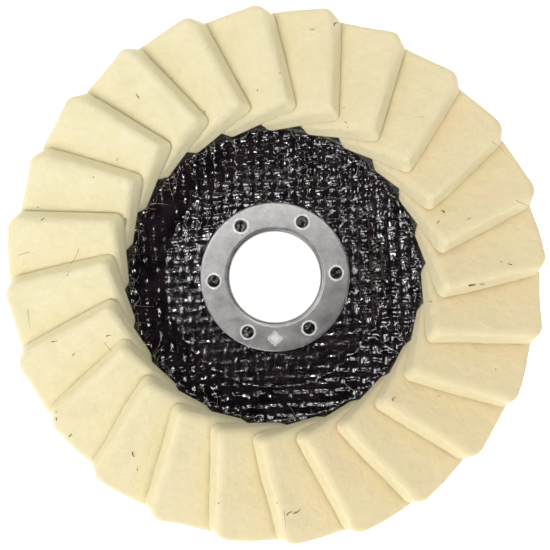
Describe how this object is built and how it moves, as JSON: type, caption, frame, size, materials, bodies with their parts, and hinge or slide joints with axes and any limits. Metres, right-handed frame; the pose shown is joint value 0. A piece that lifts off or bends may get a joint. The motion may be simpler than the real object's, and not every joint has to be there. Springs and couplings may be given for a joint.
{
  "type": "felt flap polishing wheel",
  "caption": "Angle-grinder polishing wheel: overlapping felt flaps glued in a ring on a dished glass-mesh backing plate with a flanged steel centre ring.",
  "frame": {"origin": "centre of the bore at the rear clamp face, the back of the crimped lip", "axes": "+Z along the bore axis, out of the working face that carries the felt flaps; +Y is straight up in the picture and +X is to the right"},
  "size_m": [0.1266, 0.1266, 0.0217],
  "materials": {
    "felt": "matte",
    "steel": "satin",
    "laminate": "gloss",
    "resin": "gloss",
    "adhesive": "satin"
  },
  "bodies": {
    "root": {"centre_ring": "steel", "resin_keys": "resin", "adhesive_bed": "adhesive", "mesh_ply_1": "laminate", "mesh_ply_2": "laminate", "mesh_ply_3": "laminate", "mesh_ply_4": "laminate", "felt_flap_01": "felt", "felt_flap_02": "felt", "felt_flap_03": "felt", "felt_flap_04": "felt", "felt_flap_05": "felt", "felt_flap_06": "felt", "felt_flap_07": "felt", "felt_flap_08": "felt", "felt_flap_09": "felt", "felt_flap_10": "felt", "felt_flap_11": "felt", "felt_flap_12": "felt", "felt_flap_13": "felt", "felt_flap_14": "felt", "felt_flap_15": "felt", "felt_flap_16": "felt", "felt_flap_17": "felt", "felt_flap_18": "felt", "felt_flap_19": "felt", "felt_flap_20": "felt", "felt_flap_21": "felt", "felt_flap_22": "felt", "felt_flap_23": "felt", "felt_flap_24": "felt"}
  },
  "joints": []
}
